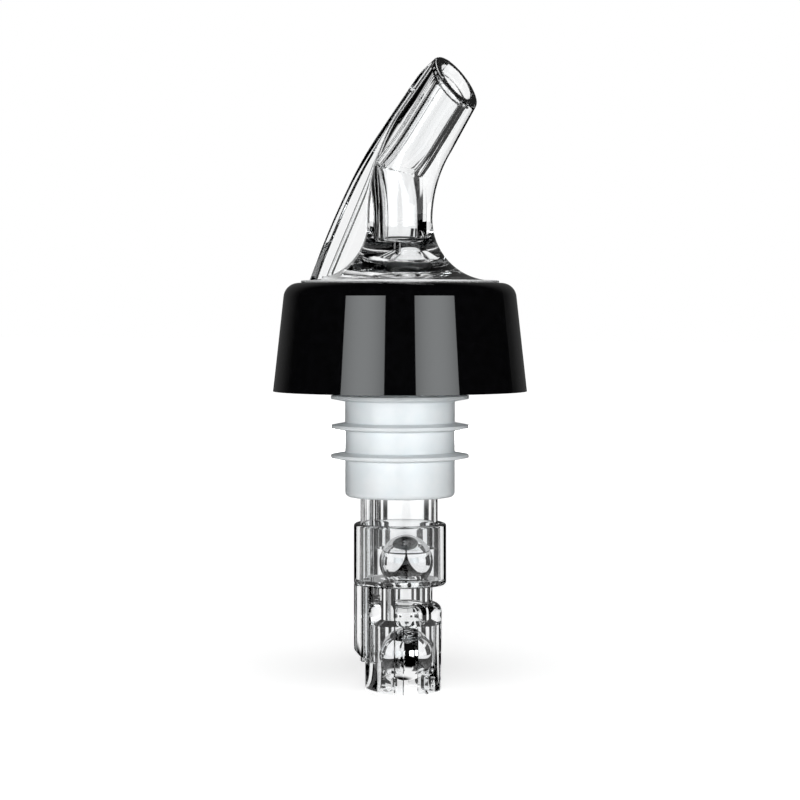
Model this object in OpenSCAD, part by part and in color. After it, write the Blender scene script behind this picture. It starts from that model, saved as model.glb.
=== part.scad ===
// Measured liquor pourer with a two-ball shut-off, millimetres, +Z up.
// The origin is on the stopper's axis, in the plane where the bottle's lip stops under the collar's roof.
// The spout leans towards +X.

/* [Balls] */
// Diameter of the two steel balls
ball_d = 9; // [8:0.1:10]
// Radial clearance of the timing ball in the measuring tube
ball_clear = 0.22; // [0.15:0.01:0.4]
// Gap kept between a ball and the seat it rests on
seat_gap = 0.05; // [0.03:0.01:0.1]
// Width of each conical ball seat outside the line of contact
seat_land = 0.45; // [0.3:0.05:0.7]

/* [Measuring tube and breather] */
// Wall of the measuring tube
tube_wall = 0.53; // [0.4:0.01:0.8]
// Height of the measuring tube's lower end above the cup's floor
tube_lift = 5.15; // [4:0.05:6.5]
// Outer diameter of the breather tube
breather_d = 2.3; // [2:0.05:2.8]
// Bore of the breather tube
breather_bore = 1.3; // [0.9:0.05:1.5]
// Gap between the breather tube and the measuring tube
tube_gap = 0.15; // [0.1:0.05:0.4]
// Length of breather tube that shows below its duct
breather_tip = 0.7; // [0.4:0.1:1.5]

/* [Cup] */
// Height of the metering cup
cup_h = 10.3; // [9:0.1:14]
// Wall of the metering cup
cup_wall = 1; // [0.8:0.05:1.6]
// Thickness of the cup's floor
cup_floor = 1; // [0.8:0.05:1.5]
// Gap between the stopper's lower end and the cup's rim
cup_drop = 4.4; // [3:0.1:8]
// Gap between the measuring tube and the cup's wall, away from the breather
cup_gap = 0.4; // [0.2:0.05:1]

/* [Ball cage] */
// Height of the cage below the cup's floor
cage_h = 17.85; // [16.5:0.1:20]
// Height of the ball chamber inside the cage
chamber_h = 11.2; // [10.8:0.1:12]
// Radial clearance of the check ball in its chamber
chamber_clear = 0.4; // [0.3:0.05:0.6]
// Wall of the cage
cage_wall = 1.05; // [0.9:0.05:1.5]
// Length of neck that shows between the cage's shoulder and the cup
neck_h = 3; // [1.5:0.1:3.5]
// Wall of the neck outside its ball seat
neck_wall = 0.75; // [0.6:0.05:1]
// Width of the slots between the cage's fingers
slot_w = 2.4; // [1.5:0.1:3]
// Draft of the cage's outer wall, measured at its foot
cage_draft = 0.15; // [0:0.05:0.3]
// Distance from the ball axis to the flat face of the column that carries the duct
column_x = 2.7; // [2:0.1:4]
// How far the column stands out past the cage's wall
column_out = 0.9; // [0.3:0.1:1.2]
// Width of the nubs that hold the check ball
nub_w = 1.6; // [1.2:0.1:2]
// Height of the nubs' upper edge above the cage's foot
nub_top = 3.2; // [2.6:0.1:3.6]
// Height of the nubs' lower end above the cage's foot
nub_low = 0.4; // [0:0.1:0.8]
// Reach of the nubs into the ball chamber
nub_reach = 1.4; // [1.2:0.05:1.7]
// Height of the duct's lower end above the cage's foot
duct_end = 5.7; // [4:0.1:8]
// Width of the breather duct
duct_w = 3.8; // [3.4:0.1:5]
// Radius of the duct's rounded lower edge
duct_round = 2; // [1:0.1:2.2]
// Turn of everything below the stopper about the pourer's axis, away from the spout's plane
lower_turn = 38; // [0:1:60]

/* [Stopper] */
// Diameter of the stopper's body
stopper_d = 18.3; // [17.5:0.1:20]
// Length of the stopper below the collar's roof
stopper_len = 33.3; // [28:0.1:40]
// Diameter over the sealing fins
fin_d = 23; // [21:0.1:26]
// Spacing of the fins
fin_pitch = 4.9; // [4:0.1:6]
// Height of the lowest fin above the stopper's lower end
fin_start = 6.8; // [4:0.1:8]
// Thickness of a fin at its root
fin_root = 1.4; // [1:0.1:2]
// Thickness of a fin at its edge
fin_edge = 0.5; // [0.3:0.1:0.8]
// Thickness of the sealing head under the collar's roof
head_t = 1; // [0.8:0.1:2]
// Radius of the stopper's rounded lower edge
stopper_round = 0.8; // [0.3:0.1:1.5]

/* [Collar] */
// Outer diameter at the lower rim
collar_rim_d = 42.3; // [38:0.1:48]
// Outer diameter under the rounded top edge
collar_top_d = 38.8; // [36:0.1:44]
// Height of the collar
collar_h = 18; // [14:0.1:24]
// Wall of the collar
collar_wall = 1.6; // [1.2:0.1:2.5]
// Thickness of the collar's roof
collar_roof = 2.3; // [1.8:0.1:3.5]
// Radius of the rounded top edge
collar_round = 2.5; // [1.5:0.1:3.5]

/* [Spout] */
// Diameter of the spout's foot flange
flange_d = 33; // [30:0.1:36]
// Thickness of the foot flange at its rim
flange_t = 0.4; // [0.3:0.05:0.8]
// Diameter of the upright neck of the spout
neck_d = 10.8; // [9.8:0.1:12]
// Diameter of the nozzle at its tip
tip_d = 9.2; // [8.8:0.1:10]
// Lean of the nozzle from upright
tilt = 36; // [25:1:45]
// Height of the elbow, where the two bores meet, above the collar
elbow_h = 18.3; // [16.5:0.1:24]
// Length of the nozzle from the elbow to the middle of its mouth
reach = 18.1; // [16:0.1:26]
// Radius of the bend, on the middle of the tube
bend_r = 24; // [16:0.5:28]
// Angle of the mouth's face, from its normal to upright
mouth_angle = 56; // [45:1:65]
// Bore of the upright part
upright_bore = 5.8; // [5.6:0.1:6.6]
// Bore of the nozzle
nozzle_bore = 5; // [4:0.1:5.4]
// Slope of the ledge where the upright bore meets the nozzle's bore
ledge_lean = 14; // [10:1:18]
// Height of the ledge above the elbow
ledge_rise = 0.5; // [0:0.1:0.8]
// Diameter of the counterbore in the mouth
mouth_bore = 6.6; // [5.6:0.1:6.8]
// Depth of the counterbore in the mouth
mouth_depth = 1.5; // [0.5:0.1:2.5]
// Diameter of the valve hole that the timing ball closes
valve_hole = 3.7; // [3:0.1:3.7]
// Height of the valve's ball seat above the collar
valve_h = 2.3; // [1.8:0.1:3]
// Height of the floor of the upright bore above the ball seat
valve_web = 3.8; // [3:0.1:4.5]
// Length of the plug below the collar's roof
plug_len = 4; // [3:0.1:6]
// Wall of the plug outside the tubes
plug_wall = 0.85; // [0.6:0.05:1.2]
// Height of the back rib over the nozzle's tip
rib_h = 0.6; // [0.4:0.1:1.2]
// Height of the back rib over the neck at the elbow
knee_h = 0.4; // [0.2:0.1:1]
// Width of the back rib and of the strut below it
rib_w = 4.4; // [3.6:0.1:5]
// Radius of the rib's curve into the tip
rib_round = 13; // [10:0.5:16]
// How far the strut bulges backwards at half of its height
strut_bulge = 0.4; // [0.2:0.1:0.8]
// Distance from the flange's rim to the strut's foot
strut_inset = 0.3; // [0.2:0.1:1]
// Bore of the vent channel in the rib and strut
vent_d = 1; // [0.8:0.1:1.1]

/* [Hidden] */
$fn = 96;

// Clearance of pieces that plug into each other
fit_gap = 0.03;
// Clearance of the breather tube from the cup's wall
wall_gap = 0.05;
// How far a cutting tool runs past the face it cuts
cut = 1;
// Size of the blocks that cut along a plane
half_space = 60;
// Step at the seam where one round form enters another, and the angle by which a bend laps its neighbours
seam = 0.02;
lap = 1;

ball_r = ball_d / 2;
tube_bore_r = ball_r + ball_clear;
tube_r = tube_bore_r + tube_wall;
breather_r = breather_d / 2;

// Across the cup lie the breather tube and then the measuring tube
cup_bore_r = (wall_gap + breather_d + tube_gap + 2 * tube_r + cup_gap) / 2;
cup_r = cup_bore_r + cup_wall;
tube_x = cup_bore_r - cup_gap - tube_r;
breather_x = -(cup_bore_r - wall_gap - breather_r);

// Ball seats are 45 degree cones, so a ball touches them at 45 degrees
seat_touch_r = ball_r * sin(45);
seat_r = seat_touch_r + seat_land;
neck_bore_r = seat_touch_r - seat_land;
seat_reach = sqrt(2) * (ball_r + seat_gap);
neck_r = seat_r + neck_wall;

// Heights, from the foot of the cage up
stopper_z = -stopper_len;
cup_rim_z = stopper_z - cup_drop;
cup_z = cup_rim_z - cup_h;
cup_floor_z = cup_z + cup_floor;
cage_z = cup_z - cage_h;
chamber_z = cage_z + chamber_h;
shoulder_z = cup_z - neck_h;
tube_z = cup_floor_z + tube_lift;
collar_z = collar_roof;
valve_z = collar_z + valve_h;
bore_z = valve_z + valve_web;
elbow_z = collar_z + elbow_h;

chamber_r = ball_r + chamber_clear;
cage_r = chamber_r + cage_wall;
shoulder_round = cage_r - neck_r;
nub_r = chamber_r - nub_reach;
nub_angles = [45, 135, 225, 315];
slot_angles = [-90, 0, 90];

// Resting places of the balls and their travel
timing_ball_z = cup_floor_z - seat_r + seat_reach;
timing_ball_travel = valve_z + seat_r - seat_reach - timing_ball_z;
check_ball_z = cage_z + nub_top + sqrt(pow(ball_r + seat_gap, 2) - pow(nub_r, 2));
check_ball_travel = chamber_z + seat_r - seat_reach - check_ball_z;
echo(timing_ball_travel = timing_ball_travel, check_ball_travel = check_ball_travel);

plug_r = breather_r - breather_x + plug_wall;
flange_r = flange_d / 2;
spout_neck_r = neck_d / 2;
tip_r = tip_d / 2;
// The bend leaves the upright neck at the height where the foot's sweep ends
bend_len = bend_r * tan(tilt / 2);
sweep_r = elbow_h - bend_len - flange_t;
// Ends of the rib's straight part, from the elbow along the nozzle
rib_foot = -1.2;
rib_bend = reach - 4.5;
rib_back = -(tip_r + rib_h);
knee_back = -(spout_neck_r + knee_h);
// Back line of the strut and rib, from the flange up
knee = nozzle_point(knee_back, rib_foot);
strut_x = -(flange_r - strut_inset);
strut_middle = [(strut_x + knee.x) / 2 - strut_bulge, knee.y / 2];
// The vent runs up inside the rib's back to a port below the tip, and down to a groove under the flange
vent_x = -4.2;
vent_port = rib_bend - 1;
vent_foot_x = -(flange_r - 2.6);
vent_turn = nozzle_point(vent_x, rib_foot);
vent_lean = atan2(vent_turn.x - vent_foot_x, vent_turn.y);
vent_rise = norm([vent_turn.x - vent_foot_x, vent_turn.y]);
groove_h = 1.2;
groove_w = 1.6;
// The groove starts a little below the collar's top, and the breather ends a little below the groove
groove_drop = 1.5;
vent_chamber_z = collar_z - groove_drop;
breather_top = vent_chamber_z - groove_drop;

// A place in the spout's plane, from the collar up, by its distances across and along the nozzle
function nozzle_point(across, along) =
  [across * cos(tilt) + along * sin(tilt), elbow_h - across * sin(tilt) + along * cos(tilt)];

// Everything below the stopper, in its own plane of symmetry
module lower_frame() {
  rotate([0, 0, lower_turn]) children();
}

// The axis of the measuring tube, which both balls and the cage share
module tube_axis() {
  lower_frame() translate([tube_x, 0, 0]) children();
}

// A straight round bar or bore between two heights
module bar(r, low, high) {
  translate([0, 0, low]) cylinder(r = r, h = high - low);
}

// Passage for the measuring tube and the breather beside it, with the slit that joins them
module tube_passage(low, high) {
  lower_frame() {
    translate([tube_x, 0, 0]) bar(tube_r + fit_gap, low, high);
    translate([breather_x, 0, 0]) bar(breather_r + fit_gap, low, high);
    translate([breather_x, -breather_r / 2, low]) cube([tube_x - breather_x, breather_r, high - low]);
  }
}

// A 45 degree ball seat, open downwards for a ball that comes from below
module seat_cone(hole_r) {
  translate([0, 0, -cut]) cylinder(r1 = seat_r + cut, r2 = hole_r, h = seat_r + cut - hole_r);
}

// The nozzle's own frame: z runs from the elbow to the mouth, -x is the back
module along_nozzle() {
  translate([0, 0, elbow_z]) rotate([0, tilt, 0]) children();
}

// Everything above a plane through the local origin, leaning forward by an angle
module above_plane(angle) {
  rotate([0, angle, 0]) translate([-half_space / 2, -half_space / 2, 0]) cube(half_space);
}

// Part of a ring that starts upright at the local origin and leans forward, with its centre in front.
// It laps into the pieces at both of its ends.
module forward_bend(ring_r, bar_r, angle) {
  translate([ring_r, 0, 0]) rotate([90, 0, 0]) rotate([0, 0, 180 - angle - lap])
    rotate_extrude(angle = angle + 2 * lap) translate([ring_r, 0]) circle(bar_r - seam);
}

// Foot of the spout: a thin flange that sweeps up into the neck
module spout_foot() {
  rotate_extrude() difference() {
    square([flange_r, flange_t + sweep_r]);
    translate([spout_neck_r + sweep_r, flange_t + sweep_r]) circle(sweep_r);
    translate([spout_neck_r + sweep_r, flange_t]) square([flange_r, sweep_r + cut]);
  }
}

// Flat plate behind the neck and nozzle: the strut on the flange and the rib that carries the vent
module back_rib() {
  translate([0, 0, collar_z]) rotate([90, 0, 0]) linear_extrude(rib_w, center = true)
    polygon([[strut_x, 0], strut_middle, knee, nozzle_point(rib_back, rib_bend), nozzle_point(0, rib_bend),
      [0, elbow_h], [0, 0]]);
  // The rib's curve into the tip
  along_nozzle() intersection() {
    translate([rib_back + rib_round, 0, rib_bend]) rotate([90, 0, 0])
      cylinder(r = rib_round, h = rib_w - 2 * seam, center = true);
    translate([rib_back - cut, -rib_w, rib_bend - cut])
      cube([-rib_back + cut, 2 * rib_w, rib_round / 2 + cut]);
  }
}

// Liquor way: valve hole, upright bore, nozzle bore and the counterbored mouth
module spout_bores() {
  tube_axis() {
    bar(valve_hole / 2, valve_z, bore_z + cut);
    translate([0, 0, valve_z]) seat_cone(valve_hole / 2);
  }
  difference() {
    bar(upright_bore / 2, bore_z, elbow_z + upright_bore);
    translate([0, 0, elbow_z + ledge_rise]) above_plane(ledge_lean);
  }
  difference() {
    along_nozzle() bar(nozzle_bore / 2, -nozzle_bore, 2 * reach);
    translate([0, 0, elbow_z + ledge_rise]) rotate([180, 0, 0]) above_plane(-ledge_lean);
  }
  intersection() {
    along_nozzle() bar(mouth_bore / 2, reach / 2, 2 * reach);
    along_nozzle() translate([0, 0, reach]) rotate([0, mouth_angle - tilt, 0])
      translate([0, 0, -mouth_depth]) above_plane(0);
  }
}

// Air way: from the breather's end round to the back, out under the flange and up to the rib's port
module spout_vent() {
  depth = groove_drop + groove_h;
  length = breather_x + groove_w / 2 - vent_foot_x + vent_d / 2;
  rotate([0, 0, 180]) rotate_extrude(angle = max(lower_turn, 1))
    translate([-breather_x - groove_w / 2, vent_chamber_z]) square([groove_w, depth]);
  translate([vent_foot_x - vent_d / 2, -groove_w / 2, vent_chamber_z]) cube([length, groove_w, depth]);
  translate([vent_foot_x, 0, collar_z]) rotate([0, vent_lean, 0])
    bar(vent_d / 2 - seam, 0, vent_rise + vent_d / 2);
  along_nozzle() {
    translate([vent_x, 0, 0]) bar(vent_d / 2, rib_foot - vent_d / 4, vent_port + vent_d);
    translate([vent_x, 0, vent_port]) rotate([0, -90, 0]) bar(vent_d / 2 - seam, 0, rib_round);
  }
}

module pouring_spout() {
  color("white", 0.35) difference() {
    union() {
      translate([0, 0, collar_z]) spout_foot();
      bar(plug_r, -plug_len, collar_z + flange_t);
      translate([0, 0, elbow_z - bend_len]) forward_bend(bend_r, spout_neck_r, tilt);
      along_nozzle() translate([0, 0, bend_len])
        cylinder(r1 = spout_neck_r - 2 * seam, r2 = tip_r, h = reach + tip_r - bend_len);
      back_rib();
    }
    along_nozzle() translate([0, 0, reach]) above_plane(mouth_angle - tilt);
    tube_passage(-plug_len - cut, vent_chamber_z);
    tube_axis() bar(tube_r + fit_gap, -plug_len - cut, valve_z);
    spout_bores();
    spout_vent();
  }
}

module collar_cap() {
  rim_r = collar_rim_d / 2;
  top_r = collar_top_d / 2;
  rim_z = collar_z - collar_h;
  edge_x = top_r - collar_round;
  edge_z = collar_z - collar_round;
  // The side runs straight from the rim to where it meets the rounded edge
  edge_far = norm([rim_r - edge_x, rim_z - edge_z]);
  edge_turn = atan2(rim_z - edge_z, rim_r - edge_x) + acos(collar_round / edge_far);
  meet = [edge_x + collar_round * cos(edge_turn), edge_z + collar_round * sin(edge_turn)];
  color("#141416") difference() {
    rotate_extrude() {
      polygon([[0, rim_z], [rim_r, rim_z], meet, [edge_x, edge_z], [edge_x, collar_z], [0, collar_z]]);
      translate([edge_x, edge_z]) circle(collar_round);
    }
    translate([0, 0, rim_z - cut])
      cylinder(r1 = rim_r - collar_wall, r2 = top_r - collar_wall, h = cut - rim_z);
    bar(plug_r + fit_gap, -cut, collar_z + cut);
  }
}

// One fin of the stopper, thinner towards its edge
module fin() {
  rotate_extrude() polygon([[0, -fin_root / 2], [stopper_d / 2, -fin_root / 2], [fin_d / 2, -fin_edge / 2],
    [fin_d / 2, fin_edge / 2], [stopper_d / 2, fin_root / 2], [0, fin_root / 2]]);
}

module stopper() {
  body_r = stopper_d / 2;
  fin_space = stopper_len - fin_start - head_t - fin_pitch / 2;
  color("#e4eaee", 0.9) difference() {
    union() {
      translate([0, 0, stopper_z]) rotate_extrude() {
        square([body_r - stopper_round, stopper_len]);
        translate([0, stopper_round]) square([body_r, stopper_len - stopper_round]);
        translate([body_r - stopper_round, stopper_round]) circle(stopper_round);
      }
      for (i = [0 : floor(fin_space / fin_pitch)])
        translate([0, 0, stopper_z + fin_start + i * fin_pitch]) fin();
      bar(fin_d / 2, -head_t, 0);
    }
    tube_passage(stopper_z - cut, 0);
    bar(plug_r + fit_gap, -plug_len, cut);
  }
}

module measuring_tube() {
  color("white", 0.35) tube_axis() difference() {
    bar(tube_r, tube_z, valve_z);
    bar(tube_bore_r, tube_z - cut, valve_z + cut);
  }
}

module breather_tube() {
  low = cage_z + duct_end - breather_tip;
  color("white", 0.35) lower_frame() translate([breather_x, 0, 0]) difference() {
    bar(breather_r, low, breather_top);
    bar(breather_bore / 2, low - cut, breather_top + cut);
  }
}

module metering_cup() {
  rim_r = cup_wall / 2;
  color("white", 0.35) lower_frame() difference() {
    translate([0, 0, cup_z]) rotate_extrude() {
      square([cup_r - cup_floor / 2, cup_floor]);
      translate([cup_r - cup_floor / 2, cup_floor / 2]) circle(cup_floor / 2);
      translate([cup_bore_r, cup_floor / 2]) square([cup_wall, cup_h - rim_r - cup_floor / 2]);
      translate([cup_bore_r + rim_r, cup_h - rim_r]) circle(rim_r);
    }
    translate([tube_x, 0, 0]) bar(neck_r + fit_gap, cup_z - cut, cup_floor_z + cut);
    translate([breather_x, 0, 0]) bar(breather_r + fit_gap, cup_z - cut, cup_floor_z + cut);
  }
}

// Outer form of the cage: drafted wall, round shoulder and the neck that plugs into the cup's floor
module cage_body() {
  rotate_extrude() {
    polygon([[0, cage_z], [cage_r - cage_draft, cage_z], [cage_r, shoulder_z - shoulder_round],
      [0, shoulder_z - shoulder_round]]);
    translate([neck_r, shoulder_z - shoulder_round]) intersection() {
      circle(shoulder_round);
      square(shoulder_round);
    }
    translate([0, shoulder_z - shoulder_round]) square([neck_r, cup_floor_z - shoulder_z + shoulder_round]);
  }
}

// Duct for the breather tube, flush with the cup's outside and rounded at its lower outer edge
module breather_duct() {
  low = cage_z + duct_end;
  intersection() {
    bar(cup_r, low - cut, cup_z);
    rotate([90, 0, 0]) linear_extrude(duct_w, center = true) {
      translate([-cup_r + duct_round, low]) square([cup_r + tube_x - duct_round - chamber_r, cup_z - low]);
      translate([-cup_r, low + duct_round]) square([duct_round + cut, cup_z - low - duct_round]);
      translate([-cup_r + duct_round, low + duct_round]) circle(duct_round);
    }
  }
}

// A nub on the inside of the cage, round at both ends
module nub() {
  nub_end = nub_w / 2;
  length = chamber_r + cage_wall / 2 - nub_r;
  translate([nub_r, 0, cage_z]) {
    for (height = [nub_low + nub_end, nub_top - nub_end])
      translate([0, 0, height]) rotate([0, 90, 0]) cylinder(r = nub_end, h = length);
    translate([0, -nub_end, nub_low + nub_end]) cube([length, nub_w, nub_top - nub_low - nub_w]);
  }
}

module ball_cage() {
  color("white", 0.35) lower_frame() difference() {
    union() {
      difference() {
        union() {
          translate([tube_x, 0, 0]) {
            cage_body();
            intersection() {
              bar(cage_r + column_out, cage_z, cup_z);
              translate([-half_space - column_x, -half_space / 2, -2 * half_space])
                cube([half_space, half_space, 2 * half_space]);
            }
          }
          breather_duct();
        }
        translate([tube_x, 0, 0]) bar(chamber_r, cage_z - cut, chamber_z);
      }
      translate([tube_x, 0, 0]) for (angle = nub_angles) rotate([0, 0, angle]) nub();
    }
    translate([tube_x, 0, 0]) {
      bar(neck_bore_r, chamber_z - cut, cup_floor_z + cut);
      translate([0, 0, chamber_z]) seat_cone(neck_bore_r);
      translate([0, 0, cup_floor_z]) mirror([0, 0, 1]) seat_cone(neck_bore_r);
      for (angle = slot_angles) rotate([0, 0, angle]) translate([0, -slot_w / 2, cage_z - cut])
        cube([cage_r + cut, slot_w, chamber_h + cut]);
    }
    translate([breather_x, 0, 0]) bar(breather_r + fit_gap, cage_z + duct_end - cut, cup_z + cut);
  }
}

module timing_ball() {
  color("#b9bcc0") tube_axis() translate([0, 0, timing_ball_z]) sphere(ball_r);
}

module check_ball() {
  color("#b9bcc0") tube_axis() translate([0, 0, check_ball_z]) sphere(ball_r);
}

pouring_spout();
collar_cap();
stopper();
measuring_tube();
breather_tube();
metering_cup();
ball_cage();
timing_ball();
check_ball();
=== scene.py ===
import math

import bpy
import numpy as np
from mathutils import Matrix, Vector


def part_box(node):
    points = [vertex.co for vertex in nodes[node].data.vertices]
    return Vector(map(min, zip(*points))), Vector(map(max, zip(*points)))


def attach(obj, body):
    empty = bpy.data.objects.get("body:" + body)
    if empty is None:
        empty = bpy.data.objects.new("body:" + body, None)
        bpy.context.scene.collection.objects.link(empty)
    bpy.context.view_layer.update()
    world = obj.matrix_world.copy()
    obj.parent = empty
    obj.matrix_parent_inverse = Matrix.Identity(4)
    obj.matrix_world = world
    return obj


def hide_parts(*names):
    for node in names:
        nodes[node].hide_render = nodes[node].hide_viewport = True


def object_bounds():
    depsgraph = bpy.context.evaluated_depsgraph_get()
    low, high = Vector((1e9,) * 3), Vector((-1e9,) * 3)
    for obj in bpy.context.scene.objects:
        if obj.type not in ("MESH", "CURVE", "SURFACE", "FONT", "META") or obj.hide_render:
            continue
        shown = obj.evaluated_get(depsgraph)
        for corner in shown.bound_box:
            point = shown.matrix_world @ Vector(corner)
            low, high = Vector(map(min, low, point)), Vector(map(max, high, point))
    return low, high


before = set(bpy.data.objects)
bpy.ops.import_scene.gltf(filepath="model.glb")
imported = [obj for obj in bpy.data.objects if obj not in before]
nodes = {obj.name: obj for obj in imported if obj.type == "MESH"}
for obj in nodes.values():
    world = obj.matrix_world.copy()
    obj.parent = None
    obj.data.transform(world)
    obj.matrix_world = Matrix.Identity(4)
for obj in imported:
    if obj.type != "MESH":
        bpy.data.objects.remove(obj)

cad_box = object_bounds()

# Lengths are in millimetres, and MM takes them into Blender's metres
MM = 0.001

# Camera: the photograph's viewing angle, with the image taken to be 800 by 800
IMAGE_PX, FOCAL_PX, SENSOR = 800, 2340, 36
CAMERA_AZIMUTH, CAMERA_PITCH = math.radians(30), math.radians(2.18)
CAMERA_FAR, CAMERA_Z = 390, -2.35

# Spout: the solid's sizes, apart from the backs of rib and strut, which stand out by up to 0.7 more
COLLAR_TOP = 2.3
FLANGE_R, FLANGE_T = 16.5, 0.4
NECK_R, TIP_R = 5.4, 4.6
TILT = math.radians(36)
ELBOW_H, REACH, BEND_R = 18.3, 18.1, 24
ELBOW_Z = COLLAR_TOP + ELBOW_H
BEND_LEN = BEND_R * math.tan(TILT / 2)
SWEEP_R = ELBOW_H - BEND_LEN - FLANGE_T
PLUG_R, PLUG_LOW = 7.5, -4
RIB_HALF, RIB_BACK, KNEE_BACK = 2.2, -5.7, -6.5
RIB_FOOT, RIB_BEND, RIB_ROUND = -1.2, 13.6, 13
STRUT_X, STRUT_BULGE = -16.8, 0.7

# The way of the liquor: bores, the ledge between them, the slanted mouth and the valve's seat
UPRIGHT_BORE_R, NOZZLE_BORE_R, MOUTH_BORE_R, MOUTH_DEPTH = 2.9, 2.5, 3.3, 1.5
LEDGE_LEAN, LEDGE_RISE = math.radians(14), 0.5
MOUTH_ANGLE = math.radians(56)
VALVE_HOLE_R, VALVE_Z, BORE_Z = 1.85, 4.6, 8.4
SEAT_R, SEAT_H = 3.632, 4

# The sockets of the measuring tube and the breather, which are turned about Z with the lower unit
LOWER_TURN = math.radians(38)
TUBE_X, TUBE_R = 1.05, 5.25
BREATHER_X, BREATHER_R = -5.5, 1.15
FIT_GAP, JOIN_HALF = 0.03, 0.6

# The way of the air: the groove round the plug and the channel in strut and rib
VENT_R, VENT_X, VENT_PORT, VENT_FOOT_X = 0.5, -4.2, 12.6, -13.9
GROOVE_W, GROOVE_H, GROOVE_Z = 1.6, 1.2, 0.8

# How far edges of the moulding are rounded, and how far a hollow reaches into the next one
ROUND_FLANGE, ROUND_BACK, ROUND_RIB, ROUND_MOUTH = 0.2, 0.8, 0.4, 0.35
FILLET_RIB, ROUND_BORE, ROUND_COUNTERBORE, ROUND_INSIDE = 0.5, 0.5, 0.3, 0.08
OVERLAP = 1
# The moulding's foot stands this far off the collar, so that light is turned back at its underside
UNDER_GAP = 0.06
# The flange's outer edge, made matt and mostly opaque so that it shows a painted highlight, a thin white
# line
HIGHLIGHT_EDGE_W, HIGHLIGHT_EDGE_RISE = 0.25, 0.1
# The grid that the moulding's surface is drawn from, and how its points are drawn onto the surface
GRID_STEP, GRID_TOP = 0.25, 41
SLOPE_STEP, SLOPE_LEAST, DRAWS = 0.01, 0.1, 8


# Distance fields: below zero inside

def both(a, b, k):
    """Intersection of two fields with an edge rounded by about k."""
    h = np.clip(0.5 - 0.5 * (b - a) / k, 0, 1)
    return b * (1 - h) + a * h + k * h * (1 - h)


def either(a, b, k):
    """Union of two fields with a fillet of about k."""
    h = np.clip(0.5 + 0.5 * (b - a) / k, 0, 1)
    return b * (1 - h) + a * h - k * h * (1 - h)


def without(a, b, k):
    return both(a, -b, k)


def between(value, low, high):
    return np.maximum(low - value, value - high)


def lower_frame(x, y):
    """Coordinates of a point in the lower unit's frame, which is turned about Z."""
    c, s = math.cos(LOWER_TURN), math.sin(LOWER_TURN)
    return x * c + y * s, y * c - x * s


def nozzle_frame(x, z):
    """Across and along the nozzle, from the elbow; the back is at negative across."""
    up = z - ELBOW_Z
    return x * math.cos(TILT) - up * math.sin(TILT), x * math.sin(TILT) + up * math.cos(TILT)


def nozzle_point(across, along):
    """A place in the spout's plane by its distances across and along the nozzle from the elbow."""
    return (across * math.cos(TILT) + along * math.sin(TILT),
            ELBOW_Z - across * math.sin(TILT) + along * math.cos(TILT))


def nozzle_tube(x, y, z):
    """The upright neck, the bend and the tapered nozzle, as one swept round bar."""
    across, along = nozzle_frame(x, z)
    bend_x, bend_z = BEND_R, ELBOW_Z - BEND_LEN
    turn = np.arctan2(z - bend_z, bend_x - x)
    arc = np.hypot(np.hypot(x - bend_x, z - bend_z) - BEND_R, y)
    far = np.where(turn < 0, np.hypot(x, y), np.where(turn < TILT, arc, np.hypot(across, y)))
    taper = np.clip((along - BEND_LEN) / (REACH + TIP_R - BEND_LEN), 0, 1)
    return far - (NECK_R + (TIP_R - NECK_R) * np.where(turn < TILT, 0, taper))


def spout_foot(x, y, z):
    """The thin flange and the foot that sweeps from it into the neck."""
    r, up = np.hypot(x, y), z - COLLAR_TOP
    hollow = SWEEP_R - np.hypot(r - NECK_R - SWEEP_R, up - FLANGE_T - SWEEP_R)
    sweep = np.maximum(np.maximum(hollow, r - NECK_R - SWEEP_R), between(up, 0, FLANGE_T + SWEEP_R))
    flange = both(r - FLANGE_R, between(up, 0, FLANGE_T), ROUND_FLANGE)
    return np.minimum(sweep, flange)


def behind_line(x, z, start, end):
    """Distance behind a line that runs up the spout's back."""
    dx, dz = end[0] - start[0], end[1] - start[1]
    return ((z - start[1]) * dx - (x - start[0]) * dz) / math.hypot(dx, dz)


def back_rib(x, y, z):
    """Flat plate behind neck and nozzle: the strut on the flange, and the rib that curves into the tip."""
    across, along = nozzle_frame(x, z)
    foot, knee = (STRUT_X, COLLAR_TOP), nozzle_point(KNEE_BACK, RIB_FOOT)
    middle = ((foot[0] + knee[0]) / 2 - STRUT_BULGE, (foot[1] + knee[1]) / 2)
    back = both(behind_line(x, z, foot, middle), behind_line(x, z, middle, knee), ROUND_BACK)
    back = both(back, behind_line(x, z, knee, nozzle_point(RIB_BACK, RIB_BEND)), ROUND_BACK)
    curl = np.hypot(across - RIB_BACK - RIB_ROUND, along - RIB_BEND) - RIB_ROUND
    back = np.where(along > RIB_BEND, np.maximum(back, curl), back)
    front = np.where(along > 0, across, x)
    return np.maximum(both(back, np.abs(y) - RIB_HALF, ROUND_RIB), front)


def mouth_plane(x, z):
    """Distance past the slanted plane of the mouth."""
    mouth_x, mouth_z = nozzle_point(0, REACH)
    return (x - mouth_x) * math.sin(MOUTH_ANGLE) + (z - mouth_z) * math.cos(MOUTH_ANGLE)


def spout_body(x, y, z):
    """The moulding without its hollows."""
    body = either(nozzle_tube(x, y, z), back_rib(x, y, z), FILLET_RIB)
    body = np.minimum(body, spout_foot(x, y, z))
    body = np.maximum(body, COLLAR_TOP + UNDER_GAP - z)
    plug = np.maximum(np.hypot(x, y) - PLUG_R, between(z, PLUG_LOW, COLLAR_TOP + FLANGE_T))
    return both(np.minimum(body, plug), mouth_plane(x, z), ROUND_MOUTH)


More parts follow.
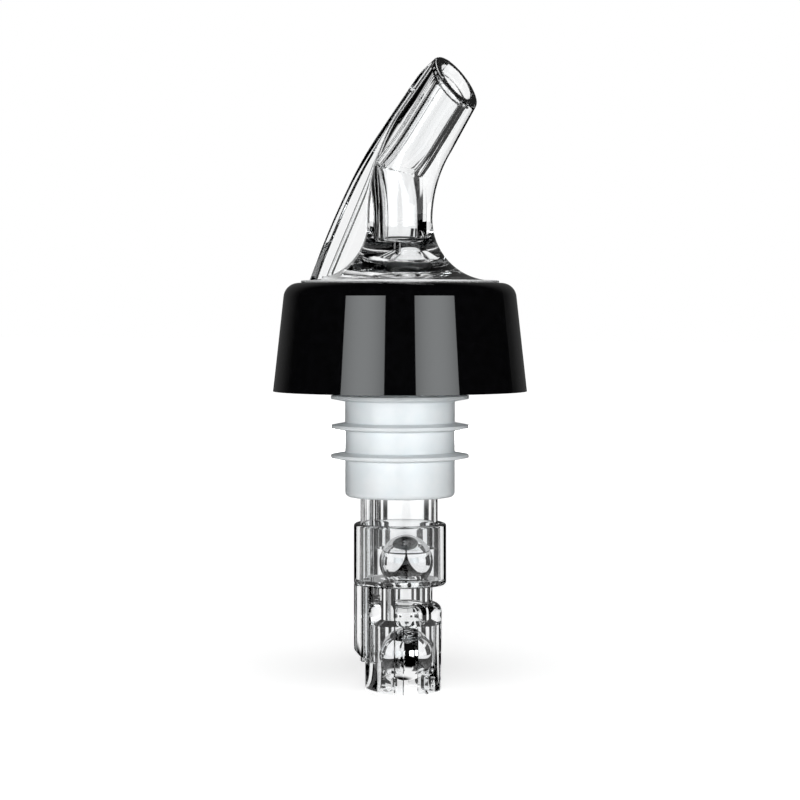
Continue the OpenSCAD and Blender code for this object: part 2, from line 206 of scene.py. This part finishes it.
def liquor_way(x, y, z):
    """The two bores, the mouth's counterbore, the valve's hole and its conical seat."""
    across, along = nozzle_frame(x, z)
    nozzle_far, mouth = np.hypot(across, y), mouth_plane(x, z)
    ledge = x * math.sin(LEDGE_LEAN) + (z - ELBOW_Z - LEDGE_RISE) * math.cos(LEDGE_LEAN)
    upright = both(both(np.hypot(x, y) - UPRIGHT_BORE_R, BORE_Z - z, ROUND_BORE), ledge, ROUND_INSIDE)
    nozzle = both(nozzle_far - NOZZLE_BORE_R, -ledge, ROUND_INSIDE)
    nozzle = np.maximum(nozzle, -NOZZLE_BORE_R * 2 - along)
    counterbore = both(nozzle_far - MOUTH_BORE_R, -mouth - MOUTH_DEPTH, ROUND_COUNTERBORE)
    counterbore = np.maximum(counterbore, REACH / 2 - along)

    lower_x, lower_y = lower_frame(x, y)
    tube_far = np.hypot(lower_x - TUBE_X, lower_y)
    valve = np.maximum(tube_far - VALVE_HOLE_R, between(z, VALVE_Z, BORE_Z + OVERLAP))
    seat = (tube_far + (z - VALVE_Z) - SEAT_R) * math.sqrt(0.5)
    seat = np.maximum(seat, between(z, VALVE_Z - OVERLAP, VALVE_Z + SEAT_H))
    return upright, nozzle, counterbore, valve, seat


def tube_sockets(x, y, z):
    """The sockets of the two tubes. The wall between them, under 0.1 mm, is left out, because the grid is
    too coarse for it."""
    lower_x, lower_y = lower_frame(x, y)
    tube = np.maximum(np.hypot(lower_x - TUBE_X, lower_y) - TUBE_R - FIT_GAP, z - VALVE_Z)
    breather = np.maximum(np.hypot(lower_x - BREATHER_X, lower_y) - BREATHER_R - FIT_GAP, z - GROOVE_Z)
    join = np.maximum(np.abs(lower_y) - JOIN_HALF, between(lower_x, BREATHER_X, TUBE_X))
    return tube, breather, np.maximum(join, z - GROOVE_Z)


def air_way(x, y, z):
    """The channel in rib and strut with its port, and the groove that leads to it from the breather."""
    across, along = nozzle_frame(x, z)
    knee_x, knee_z = nozzle_point(VENT_X, RIB_FOOT)
    rise = math.hypot(knee_x - VENT_FOOT_X, knee_z - COLLAR_TOP)
    lean = math.atan2(knee_x - VENT_FOOT_X, knee_z - COLLAR_TOP)
    low_along = (x - VENT_FOOT_X) * math.sin(lean) + (z - COLLAR_TOP) * math.cos(lean)
    low_across = (x - VENT_FOOT_X) * math.cos(lean) - (z - COLLAR_TOP) * math.sin(lean)
    in_rib = np.maximum(np.hypot(across - VENT_X, y), along - VENT_PORT) - VENT_R
    in_strut = np.maximum(np.hypot(low_across, y) - VENT_R, between(low_along, -OVERLAP, rise + OVERLAP))
    port = np.maximum(np.hypot(along - VENT_PORT, y) - VENT_R, across - VENT_X)
    vent = np.minimum(np.where(along > RIB_FOOT, in_rib, in_strut), port)

    level = between(z, GROOVE_Z, COLLAR_TOP + GROOVE_H)
    straight = between(x, VENT_FOOT_X - VENT_R, BREATHER_X + GROOVE_W / 2)
    straight = np.maximum(np.maximum(np.abs(y) - GROOVE_W / 2, straight), level)
    arc = np.maximum(np.abs(np.hypot(x, y) + BREATHER_X) - GROOVE_W / 2, level)
    arc = np.maximum(arc, between(np.arctan2(-y, -x), 0, LOWER_TURN) * -BREATHER_X)
    return vent, straight, arc


def spout_field(x, y, z):
    body = spout_body(x, y, z)
    for hollow in (*liquor_way(x, y, z), *tube_sockets(x, y, z), *air_way(x, y, z)):
        body = without(body, hollow, ROUND_INSIDE)
    return body


def surface(field, low, high, step):
    """Points and quads of a field's surface: one point in each mixed cell, drawn onto the surface."""
    axes = [np.arange(a - step, b + 2 * step, step) for a, b in zip(low, high)]
    grid = np.meshgrid(*axes, indexing="ij", sparse=True)
    d = field(*np.broadcast_arrays(*grid))
    inside = d < 0
    count = np.zeros([n - 1 for n in d.shape], np.int8)
    for i in (0, 1):
        for j in (0, 1):
            for k in (0, 1):
                count += inside[i:i + count.shape[0], j:j + count.shape[1], k:k + count.shape[2]]
    mixed = (count > 0) & (count < 8)
    number = np.full(mixed.shape, -1, np.int64)
    number[mixed] = np.arange(mixed.sum())
    cells = np.argwhere(mixed)
    points = np.stack([axes[a][cells[:, a]] + step / 2 for a in range(3)], 1)
    quads = []
    for axis in range(3):
        first = np.take(inside, range(d.shape[axis] - 1), axis)
        last = np.take(inside, range(1, d.shape[axis]), axis)
        at = np.argwhere(first != last)
        b, c = (axis + 1) % 3, (axis + 2) % 3
        ring = []
        for db, dc in ((-1, -1), (0, -1), (0, 0), (-1, 0)):
            cell = at.copy()
            cell[:, b] += db
            cell[:, c] += dc
            ring.append(number[cell[:, 0], cell[:, 1], cell[:, 2]])
        ring = np.stack(ring, 1)
        flip = ~first[at[:, 0], at[:, 1], at[:, 2]]
        ring[flip] = ring[flip][:, ::-1]
        quads.append(ring)
    for _ in range(DRAWS):
        d = field(*points.T)
        slope = np.stack([field(*(points + SLOPE_STEP * e).T) - field(*(points - SLOPE_STEP * e).T)
                          for e in np.eye(3)], 1) / (2 * SLOPE_STEP)
        move = -(d / np.maximum((slope ** 2).sum(1), SLOPE_LEAST))[:, None] * slope
        points = points + np.clip(move, -step / 2, step / 2)
    return points, np.concatenate(quads)


# Node trees

class Number:
    """A number in a node tree. Arithmetic on it adds Math nodes to the tree."""

    def __init__(self, tree, socket):
        self.tree = tree
        self.socket = socket

    def apply(self, operation, *values):
        node = self.tree.nodes.new("ShaderNodeMath")
        node.operation = operation
        for socket, value in zip(node.inputs, values):
            if isinstance(value, Number):
                self.tree.links.new(value.socket, socket)
            else:
                socket.default_value = value
        return Number(self.tree, node.outputs[0])

    def __add__(self, other):
        return self.apply("ADD", self, other)

    def __sub__(self, other):
        return self.apply("SUBTRACT", self, other)

    def __rsub__(self, other):
        return self.apply("SUBTRACT", other, self)

    def __mul__(self, other):
        return self.apply("MULTIPLY", self, other)

    def __truediv__(self, other):
        return self.apply("DIVIDE", self, other)

    def __abs__(self):
        return self.apply("ABSOLUTE", self)

    def __lt__(self, other):
        return self.apply("LESS_THAN", self, other)

    def __gt__(self, other):
        return self.apply("GREATER_THAN", self, other)

    def at_least(self, other):
        return self.apply("MAXIMUM", self, other)

    def step(self, low, high, to_low=0.0, to_high=1.0):
        """The number taken smoothly from one range to another."""
        node = self.tree.nodes.new("ShaderNodeMapRange")
        node.interpolation_type = "SMOOTHSTEP"
        for name, value in (("From Min", low), ("From Max", high), ("To Min", to_low), ("To Max", to_high)):
            node.inputs[name].default_value = value
        self.into(node.inputs["Value"])
        return Number(self.tree, node.outputs["Result"])

    def band(self, low, high, soft):
        """1 where the number lies between two limits."""
        return self.step(low - soft, low + soft) * self.step(high - soft, high + soft, 1, 0)

    def cone(self, outer, inner, to_low=0.0, to_high=1.0):
        """For a cosine: smoothly from one value to another between two angles in degrees."""
        return self.step(math.cos(math.radians(outer)), math.cos(math.radians(inner)), to_low, to_high)

    def into(self, socket):
        self.tree.links.new(self.socket, socket)


def vector_node(tree, operation, vector, other=None):
    node = tree.nodes.new("ShaderNodeVectorMath")
    node.operation = operation
    tree.links.new(vector, node.inputs[0])
    if other is not None:
        node.inputs[1].default_value = other
    return node.outputs


def dot(tree, vector, other):
    return Number(tree, vector_node(tree, "DOT_PRODUCT", vector, other)["Value"])


def length(tree, vector):
    return Number(tree, vector_node(tree, "LENGTH", vector)["Value"])


def coordinates(tree, kind):
    return tree.nodes.new("ShaderNodeTexCoord").outputs[kind]


def noise(tree, scale, detail):
    texture = tree.nodes.new("ShaderNodeTexNoise")
    texture.inputs["Scale"].default_value = scale
    texture.inputs["Detail"].default_value = detail
    tree.links.new(coordinates(tree, "Object"), texture.inputs["Vector"])
    return texture.outputs["Fac"]


def ramp(tree, source, target, stops):
    node = tree.nodes.new("ShaderNodeValToRGB")
    for element, (place, colour) in zip(node.color_ramp.elements, stops):
        element.position = place
        element.color = (*colour, 1)
    tree.links.new(source, node.inputs["Fac"])
    tree.links.new(node.outputs["Color"], target)


def spread(tree, source, target, low, high):
    node = tree.nodes.new("ShaderNodeMapRange")
    node.inputs["To Min"].default_value = low
    node.inputs["To Max"].default_value = high
    tree.links.new(source, node.inputs["Value"])
    tree.links.new(node.outputs["Result"], target)


def shader(name):
    material = bpy.data.materials.new(name)
    material.use_nodes = True
    return material, material.node_tree, material.node_tree.nodes["Principled BSDF"]


def glow_shader(name):
    """A material with an Emission shader alone, whose strength is still to be set."""
    material, tree, bsdf = shader(name)
    tree.nodes.remove(bsdf)
    glow = tree.nodes.new("ShaderNodeEmission")
    tree.links.new(glow.outputs[0], tree.nodes["Material Output"].inputs["Surface"])
    return material, tree, glow


# Materials of the object. A noise is given by its scale and its detail

def mottled(name, colour_noise, stops, rough_noise, roughness, constants):
    """A material whose colour and roughness vary a little, with constants on other sockets of its shader."""
    material, tree, bsdf = shader(name)
    for socket, value in constants.items():
        bsdf.inputs[socket].default_value = value
    ramp(tree, noise(tree, *colour_noise), bsdf.inputs["Base Color"], stops)
    spread(tree, noise(tree, *rough_noise), bsdf.inputs["Roughness"], *roughness)
    return material


def clear_plastic(name, transmission, roughness):
    return mottled(
        name, colour_noise=(260, 2), stops=((0.3, (0.965, 0.975, 0.98)), (0.7, (0.995, 0.998, 1.0))),
        rough_noise=(900, 2), roughness=roughness,
        constants={"Transmission Weight": transmission, "IOR": 1.53})


def black_plastic():
    return mottled(
        "collar_plastic", colour_noise=(700, 4),
        stops=((0.35, (0.001, 0.001, 0.0012)), (0.7, (0.002, 0.002, 0.0024))),
        rough_noise=(1500, 3), roughness=(0.02, 0.045), constants={"IOR": 1.5})


def soft_stopper():
    return mottled(
        "stopper_rubber", colour_noise=(400, 3),
        stops=((0.3, (0.825, 0.88, 0.905)), (0.7, (0.88, 0.915, 0.935))),
        rough_noise=(1200, 3), roughness=(0.3, 0.42),
        constants={"IOR": 1.45, "Subsurface Weight": 0.3, "Subsurface Radius": (1, 1, 1),
                   "Subsurface Scale": 0.002})


def polished_steel():
    return mottled(
        "steel_balls", colour_noise=(500, 3),
        stops=((0.3, (0.87, 0.875, 0.88)), (0.7, (0.93, 0.933, 0.936))),
        rough_noise=(1400, 4), roughness=(0.02, 0.06), constants={"Metallic": 1})


# The object: the CAD nodes with their materials, and one moulding in place of the spout

def link(obj):
    bpy.context.scene.collection.objects.link(obj)
    return obj


def dress(material, *names):
    for name in names:
        nodes[name].data.materials.clear()
        nodes[name].data.materials.append(material)


def piece(name, points, faces, body, replaced, material):
    mesh = bpy.data.meshes.new(name)
    mesh.from_pydata((np.asarray(points) * MM).tolist(), [], np.asarray(faces).tolist())
    mesh.validate()
    mesh.shade_smooth()
    mesh.materials.append(material)
    obj = link(bpy.data.objects.new(name, mesh))
    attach(obj, body)
    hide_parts(replaced)
    return obj


def on_flange_edge(points, faces):
    """Which faces lie on the flange's outer edge."""
    x, y, z = points[faces].mean(1).T
    return (np.hypot(x, y) > FLANGE_R - HIGHLIGHT_EDGE_W) & (z < COLLAR_TOP + FLANGE_T + HIGHLIGHT_EDGE_RISE)


clear = clear_plastic("clear_plastic", transmission=1, roughness=(0, 0.01))
dress(clear, "pouring_spout", "measuring_tube", "breather_tube", "metering_cup", "ball_cage")
dress(black_plastic(), "collar_cap")
dress(soft_stopper(), "stopper")
dress(polished_steel(), "timing_ball", "check_ball")

points, faces = surface(
    spout_field, (-FLANGE_R, -FLANGE_R, PLUG_LOW), (FLANGE_R, FLANGE_R, GRID_TOP), GRID_STEP)
moulding = piece("spout_moulding", points, faces, "pourer", "pouring_spout", clear)
# Painted highlight: the flange's outer edge is made matt and mostly opaque, so that it shows as a thin white
# line
moulding.data.materials.append(clear_plastic("clear_plastic_painted_highlight", transmission=0.2, roughness=(0.5, 0.65)))
moulding.data.polygons.foreach_set("material_index", on_flange_edge(points, faces).astype(np.int32))


# Stage. Azimuths are in degrees from the camera's own, to its right

def sideways(azimuth, far, z):
    """A place on the stage, by its azimuth, its distance from the axis and its height."""
    angle = CAMERA_AZIMUTH + math.radians(azimuth)
    return Vector((far * math.sin(angle), -far * math.cos(angle), z)) * MM


# Directions of length 1, and the timing ball's middle
METRE = 1000
BEHIND, ASIDE = -sideways(0, METRE, 0), sideways(90, METRE, 0)
BALL_PLACE = sum(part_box("timing_ball"), Vector()) / 2

FLOOR_Z = cad_box[0][2] / MM
FLOOR_HALF = 4000
# The floor's own light, from its level beside the object to white far away
FLOOR_GLOW, GLOW_NEAR, GLOW_FAR = 0.66, 45, 900
PAPER_NOISE, PAPER_STOPS = (3, 2), ((0.3, (0.80, 0.80, 0.80)), (0.7, (0.83, 0.83, 0.83)))
# Stripes behind the object, as low, high and soft of the distance aside for each unit of distance behind
STRIPE_START, LEAST_BACK = 4, 1
STRIPES = ((0.077, 0.144, 0.008), (0.216, 0.488, 0.012))
TURNED_STRIPE = (0.5, 1.1, 0.03)
STRIPES_FADE, STRIPES_END = 350, 500
# What the balls see of the floor: a bright ring below them, then the dark, then the softboxes' light
RING_LOW, RING_HIGH, RING_SOFT = 2, 7.5, 1
DARK_FADE, DARK_END = 22, 25

# Two large round softboxes, in degrees, and how bright the balls see them
SOFTBOX_AZIMUTH, SOFTBOX_RISE, SOFTBOX_OUTER, SOFTBOX_INNER = 70, 22, 59, 57
SOFTBOX_LEVEL = 1.15

# The card under the spout, with its dark stretches and the strip that lights the strut's back
SHELF_Z, SHELF_HALF, SHELF_NEAR, SHELF_FAR = -5, 400, 24, 400
SHELF_DARK = ((0.3, 0.5, 0.03), (0.67, 1.5, 0.03))
SHELF_DARK_FADE, SHELF_DARK_END = 85, 105
STRIP_SLOPE, STRIP_LOW, STRIP_HIGH, STRIP_SOFT = 0.53, 18, 23, 0.5
STRIP_START, STRIP_END, STRIP_END_SOFT = 0, 45, 2
SHELF_BALL_LEVEL = 0.6

# Lit panels that the collar mirrors, and black cards that darken the edges of the clear plastic
PANEL_AZIMUTH, PANEL_HALF, PANEL_FAR, PANEL_LOW, PANEL_HIGH = 34, 20, 700, -150, 190
PANEL_LEVEL, PANEL_EDGE_LOSS, PANEL_BALL_LOSS = 5.0, 0.35, 0.77
PANEL_COLOUR = (0.95, 0.985, 1, 1)
CARD_AZIMUTH, CARD_HALF, CARD_FAR = 103, 15, 110
CARD_HEIGHTS = {"low": (FLOOR_Z, -20), "high": (2, 90)}
CARD_NOISE, CARD_STOPS = (40, 2), ((0.3, (0.004, 0.004, 0.004)), (0.7, (0.008, 0.008, 0.008)))
CARD_ROUGHNESS = 1

# The world, in degrees from straight behind the object and by the ray's rise
AMBIENT = 0.06
ROOM_OUTER, ROOM_INNER, ROOM_DARK, ROOM_LIGHT = 65, 35, 0.004, 0.1
BACKDROP_OUTER, BACKDROP_INNER = 32, 24
UPPER_OUTER, UPPER_INNER, UPPER_LOW, UPPER_HIGH = 60, 50, 0.24, 0.3

# Above the first limit a path was reflected. Above the second it went through plastic to a ball and back
REFLECTED_DEPTH, BALL_DEPTH = 0.5, 3.5


def light_paths(tree):
    """Kinds of light path, each 0 or 1: the camera's own ray; one straight through clear plastic; one turned
    back inside the plastic; one that came back from a ball behind the plastic; a diffuse one; one from a
    mirror in the open; and any without a reflection."""
    outputs = tree.nodes.new("ShaderNodeLightPath").outputs
    path = {socket.name: Number(tree, socket) for socket in outputs}
    camera_ray, diffuse = path["Is Camera Ray"], path["Is Diffuse Ray"]
    straight = path["Glossy Depth"] < REFLECTED_DEPTH
    through = path["Is Transmission Ray"] * straight
    inside = path["Is Transmission Ray"] - through
    ball = inside * (path["Transmission Depth"] > BALL_DEPTH)
    turned = inside - ball
    return {"camera": camera_ray, "through": through, "turned": turned, "ball": ball, "diffuse": diffuse,
            "mirror": 1 - (camera_ray + through + turned + ball + diffuse), "straight": straight}


def softboxes(tree, ray):
    """1 in the directions of two large round softboxes, left and right of the camera."""
    rise = math.radians(SOFTBOX_RISE)
    boxes = []
    for side in (-1, 1):
        level = sideways(side * SOFTBOX_AZIMUTH, METRE, 0)
        middle = level * math.cos(rise) + Vector((0, 0, math.sin(rise)))
        boxes.append(dot(tree, ray, middle).cone(SOFTBOX_OUTER, SOFTBOX_INNER))
    return boxes[0].at_least(boxes[1])


def two_bands(number, bands):
    """1 in either of two bands."""
    first, second = (number.band(*limits) for limits in bands)
    return first.at_least(second)


def floor_material():
    """White paper that keeps the object's shadow. Light that was bent or turned back by the plastic sees it
    with dark stripes, as between the white backdrop and black cards."""
    material, tree, glow = glow_shader("floor")
    light = light_paths(tree)
    place = coordinates(tree, "Object")
    far = length(tree, vector_node(tree, "SUBTRACT", place, (0, 0, FLOOR_Z * MM))["Vector"])
    back = dot(tree, place, BEHIND).at_least(LEAST_BACK * MM)
    aside = abs(dot(tree, place, ASIDE))
    close = far.step(STRIPES_FADE * MM, STRIPES_END * MM, 1, 0)
    stripes = 1 - close * two_bands((aside - STRIPE_START * MM) / back, STRIPES)
    turned = close * (aside / back).band(*TURNED_STRIPE)
    level = far.step(GLOW_NEAR * MM, GLOW_FAR * MM, FLOOR_GLOW, 1)

    from_ball = vector_node(tree, "SUBTRACT", place, BALL_PLACE)["Vector"]
    from_ball = vector_node(tree, "NORMALIZE", from_ball)["Vector"]
    mirrored = softboxes(tree, from_ball) * far.step(DARK_FADE * MM, DARK_END * MM)
    mirrored = mirrored.at_least(far.band(RING_LOW * MM, RING_HIGH * MM, RING_SOFT * MM))

    strength = (light["camera"] * level + light["through"] * (level * stripes) + light["turned"] * turned
                + (light["ball"] + light["mirror"]) * mirrored)
    strength.into(glow.inputs["Strength"])

    paper = tree.nodes.new("ShaderNodeMix")
    paper.data_type = "RGBA"
    paper.inputs["A"].default_value = (0, 0, 0, 1)
    ramp(tree, noise(tree, *PAPER_NOISE), paper.inputs["B"], PAPER_STOPS)
    (light["straight"] * stripes.at_least(1 - light["through"])).into(paper.inputs["Factor"])
    diffuse = tree.nodes.new("ShaderNodeBsdfDiffuse")
    tree.links.new(paper.outputs["Result"], diffuse.inputs["Color"])
    add = tree.nodes.new("ShaderNodeAddShader")
    tree.links.new(diffuse.outputs[0], add.inputs[0])
    tree.links.new(glow.outputs[0], add.inputs[1])
    tree.links.new(add.outputs[0], tree.nodes["Material Output"].inputs["Surface"])
    return material


def shelf_material():
    """White card under the spout, seen only through its plastic. Dark stretches draw the spout's outlines,
    and light that the strut's back turns round sees one white strip."""
    material, tree, glow = glow_shader("shelf")
    light = light_paths(tree)
    place = coordinates(tree, "Object")
    aside = dot(tree, place, ASIDE)
    bent = aside / dot(tree, place, BEHIND).at_least(LEAST_BACK * MM)
    close = length(tree, place).step(SHELF_DARK_FADE * MM, SHELF_DARK_END * MM, 1, 0)
    dark = two_bands(bent, SHELF_DARK) * close
    beside = dot(tree, place, BEHIND - ASIDE * STRIP_SLOPE)
    strip = (beside.band(STRIP_LOW * MM, STRIP_HIGH * MM, STRIP_SOFT * MM)
             * aside.band(STRIP_START * MM, STRIP_END * MM, STRIP_END_SOFT * MM))
    strength = light["through"] * (1 - dark) + light["turned"] * strip + light["ball"] * SHELF_BALL_LEVEL
    strength.into(glow.inputs["Strength"])
    return material


def panel_material():
    """A lit panel, dimmer towards its left and right edges, and where a ball behind plastic shows it."""
    material, tree, glow = glow_shader("panel")
    glow.inputs["Color"].default_value = PANEL_COLOUR
    split = tree.nodes.new("ShaderNodeSeparateXYZ")
    tree.links.new(coordinates(tree, "UV"), split.inputs[0])
    middle = Number(tree, split.outputs["X"]) * 2 - 1
    level = (1 - middle * middle * PANEL_EDGE_LOSS) * PANEL_LEVEL
    strength = level * (1 - light_paths(tree)["ball"] * PANEL_BALL_LOSS)
    strength.into(glow.inputs["Strength"])
    return material


def card_material():
    material, tree, bsdf = shader("card")
    bsdf.inputs["Roughness"].default_value = CARD_ROUGHNESS
    ramp(tree, noise(tree, *CARD_NOISE), bsdf.inputs["Base Color"], CARD_STOPS)
    return material


def stage_plane(name, corners, material):
    mesh = bpy.data.meshes.new(name)
    mesh.from_pydata(corners, [], [(0, 1, 2, 3)])
    for loop, place in zip(mesh.uv_layers.new().data, ((0, 0), (1, 0), (1, 1), (0, 1))):
        loop.uv = place
    mesh.materials.append(material)
    obj = link(bpy.data.objects.new(name, mesh))
    return obj


def out_of_view(obj):
    """Leaves a stage piece to be seen only in mirrors and through clear plastic."""
    obj.visible_camera = False
    obj.visible_diffuse = False
    obj.visible_shadow = False
    return obj


def upright_plane(name, middle, half, far, low, high, material):
    """An upright plane round an azimuth, at a distance from the axis."""
    corners = [sideways(middle + side * half, far, z)
               for side, z in ((-1, low), (1, low), (1, high), (-1, high))]
    return out_of_view(stage_plane(name, corners, material))


def lamp(name, azimuth, far, z, aim_z, size, power):
    data = bpy.data.lights.new(name, "AREA")
    data.shape = "DISK"
    data.size = size * MM
    data.energy = power
    obj = link(bpy.data.objects.new(name, data))
    obj.location = sideways(azimuth, far, z)
    obj.rotation_euler = (Vector((0, 0, aim_z * MM)) - obj.location).to_track_quat("-Z", "Y").to_euler()
    obj.visible_camera = False
    obj.visible_glossy = False
    obj.visible_transmission = False


def studio_world():
    """White to the camera and straight through clear plastic. A mirror sees a dark room, light turned back
    inside the plastic sees the white backdrop behind the object, and light from the balls sees the backdrop
    and two softboxes."""
    world = bpy.data.worlds.new("studio")
    world.use_nodes = True
    tree = world.node_tree
    light = light_paths(tree)
    ray = coordinates(tree, "Generated")
    behind, rise = dot(tree, ray, BEHIND), dot(tree, ray, (0, 0, 1))
    room = behind.cone(ROOM_OUTER, ROOM_INNER, ROOM_DARK, ROOM_LIGHT)
    upper = behind.cone(UPPER_OUTER, UPPER_INNER) * rise.step(UPPER_LOW, UPPER_HIGH)
    backdrop = behind.cone(BACKDROP_OUTER, BACKDROP_INNER).at_least(upper)
    deep = backdrop.at_least(softboxes(tree, ray) * SOFTBOX_LEVEL)
    strength = (light["camera"] + light["through"] + light["diffuse"] * AMBIENT + light["mirror"] * room
                + light["turned"] * backdrop + light["ball"] * deep)
    background = tree.nodes["Background"]
    background.inputs["Color"].default_value = (1, 1, 1, 1)
    strength.into(background.inputs["Strength"])
    return world


camera_data = bpy.data.cameras.new("camera")
camera_data.sensor_width = SENSOR
camera_data.lens = SENSOR * FOCAL_PX / IMAGE_PX
camera = link(bpy.data.objects.new("camera", camera_data))
camera.location = sideways(0, CAMERA_FAR, CAMERA_Z)
camera.rotation_euler = (math.pi / 2 - CAMERA_PITCH, 0, CAMERA_AZIMUTH)
bpy.context.scene.camera = camera

floor_corners = [(x * FLOOR_HALF * MM, y * FLOOR_HALF * MM, FLOOR_Z * MM)
                 for x, y in ((-1, -1), (1, -1), (1, 1), (-1, 1))]
stage_plane("floor", floor_corners, floor_material())

panel_glow = panel_material()
for side, name in ((-1, "left"), (1, "right")):
    upright_plane(
        f"panel_{name}", side * PANEL_AZIMUTH, PANEL_HALF, PANEL_FAR, PANEL_LOW, PANEL_HIGH, panel_glow)

shelf_corners = [(ASIDE * u + BEHIND * v + Vector((0, 0, SHELF_Z))) * MM
                 for u, v in ((-SHELF_HALF, SHELF_NEAR), (SHELF_HALF, SHELF_NEAR),
                              (SHELF_HALF, SHELF_FAR), (-SHELF_HALF, SHELF_FAR))]
shelf = out_of_view(stage_plane("shelf", shelf_corners, shelf_material()))
shelf.visible_glossy = False

card_black = card_material()
for side, name in ((-1, "left"), (1, "right")):
    for level, (low, high) in CARD_HEIGHTS.items():
        card = upright_plane(
            f"card_{level}_{name}", side * CARD_AZIMUTH, CARD_HALF, CARD_FAR, low, high, card_black)
        card.visible_glossy = False

lamp("key", azimuth=0, far=900, z=60, aim_z=-20, size=300, power=5.7)
lamp("top", azimuth=0, far=320, z=640, aim_z=-66, size=400, power=1.8)
lamp("back", azimuth=180, far=900, z=60, aim_z=-20, size=300, power=4.0)

bpy.context.scene.world = studio_world()
bpy.context.scene.view_settings.view_transform = "Standard"
